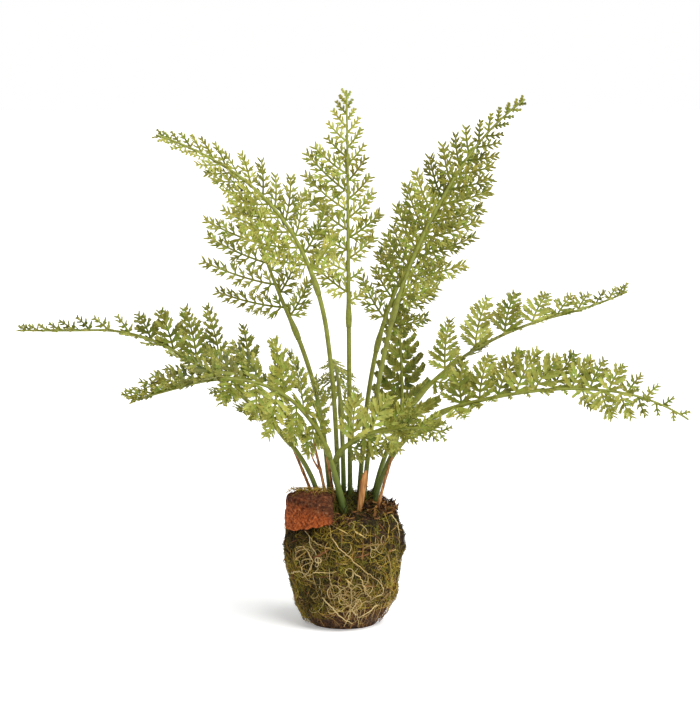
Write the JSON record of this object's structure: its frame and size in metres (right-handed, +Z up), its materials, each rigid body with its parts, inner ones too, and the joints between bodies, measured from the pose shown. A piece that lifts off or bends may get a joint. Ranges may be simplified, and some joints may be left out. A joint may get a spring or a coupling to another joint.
{
  "type": "artificial drop-in fern",
  "caption": "Lace fern spray with arching divided fronds on stiff stems, set in a moss-wrapped plug of soil that stands on its flat underside or drops into a pot.",
  "frame": {"origin": "middle of the plug's flat underside, on the surface that it stands on", "axes": "+Z up; +X to the right along the widest spread of the fronds; -Y out of the front, the side that the rust coloured lump is seen from"},
  "size_m": [0.3712, 0.1691, 0.2994],
  "materials": {
    "soil": "matte, crumbly peat and plant fibre",
    "moss": "matted dry moss and fine roots",
    "coir": "rough rust brown coir, porous",
    "stem": "moulded, olive green, darker at the foot",
    "leaf": "moulded, mid green with yellow green tips",
    "dry_stalk": "matte, rust brown dry plant stalk",
    "dry_sheath": "matte, papery tan"
  },
  "bodies": {
    "root": {"soil_plug": "soil", "moss_jacket": "moss", "coir_lump": "coir", "dry_sheath": "dry_sheath", "dry_stalk_far_left": "dry_stalk", "dry_stalk_left": "dry_stalk", "dry_stalk_straw": "dry_stalk", "dry_stalk_right": "dry_stalk", "stem_tall_left": "stem", "stem_back_left": "stem", "stem_centre": "stem", "stem_tall_right": "stem", "stem_back_right": "stem", "stem_long_left": "stem", "stem_low_left": "stem", "stem_mid_right": "stem", "stem_long_right": "stem", "stem_short_right": "stem", "stem_front": "stem", "stem_back": "stem", "frond_tall_left": "leaf", "frond_back_left": "leaf", "frond_centre": "leaf", "frond_tall_right": "leaf", "frond_back_right": "leaf", "frond_long_left": "leaf", "frond_low_left": "leaf", "frond_mid_right": "leaf", "frond_long_right": "leaf", "frond_short_right": "leaf", "frond_front": "leaf", "frond_back": "leaf"}
  },
  "joints": []
}
